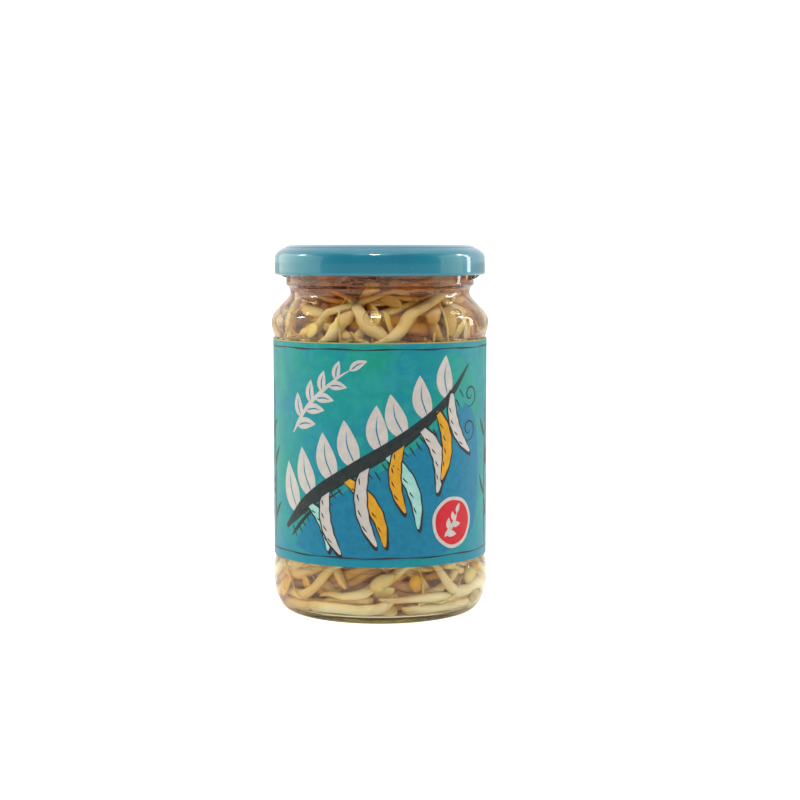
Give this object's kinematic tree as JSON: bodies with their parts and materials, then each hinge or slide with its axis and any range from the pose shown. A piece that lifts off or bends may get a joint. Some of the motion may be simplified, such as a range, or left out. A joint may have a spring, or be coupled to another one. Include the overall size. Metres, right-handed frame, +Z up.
{
  "type": "jar of bean sprouts",
  "caption": "Twist-off glass jar with a recessed label panel and rounded shoulder, packed with bean sprouts in brine under an enamelled lug cap.",
  "frame": {"origin": "centre of the jar's base, on the surface that it stands on", "axes": "+Z up along the jar's axis; the label's front faces -Y and its lap faces +Y"},
  "size_m": [0.0718, 0.0718, 0.1209],
  "materials": {
    "clear_glass": "polished",
    "lid_enamel": "gloss",
    "seal_plastisol": "satin",
    "label_paper": "satin",
    "brine_liquid": "polished",
    "sprout_flesh": "satin"
  },
  "bodies": {
    "jar": {"jar_glass": "clear_glass", "label": "label_paper", "brine": "brine_liquid", "sprouts": "sprout_flesh"},
    "seal": {"lid_seal": "seal_plastisol"},
    "lid": {"lid_shell": "lid_enamel"}
  },
  "joints": [
    {"name": "lid_rise", "type": "slide", "parent": "jar", "child": "seal", "axis": [0, 0, 1], "range_m": [0, 0.0022]},
    {"name": "lid_twist", "type": "hinge", "parent": "seal", "child": "lid", "pos_m": [0, 0, 0.116], "axis": [0, 0, 1], "range_deg": [0, 65]}
  ],
  "couplings": [
    {"joint": "lid_rise", "follows": "lid_twist", "m_per_rad": 0.0019099}
  ]
}
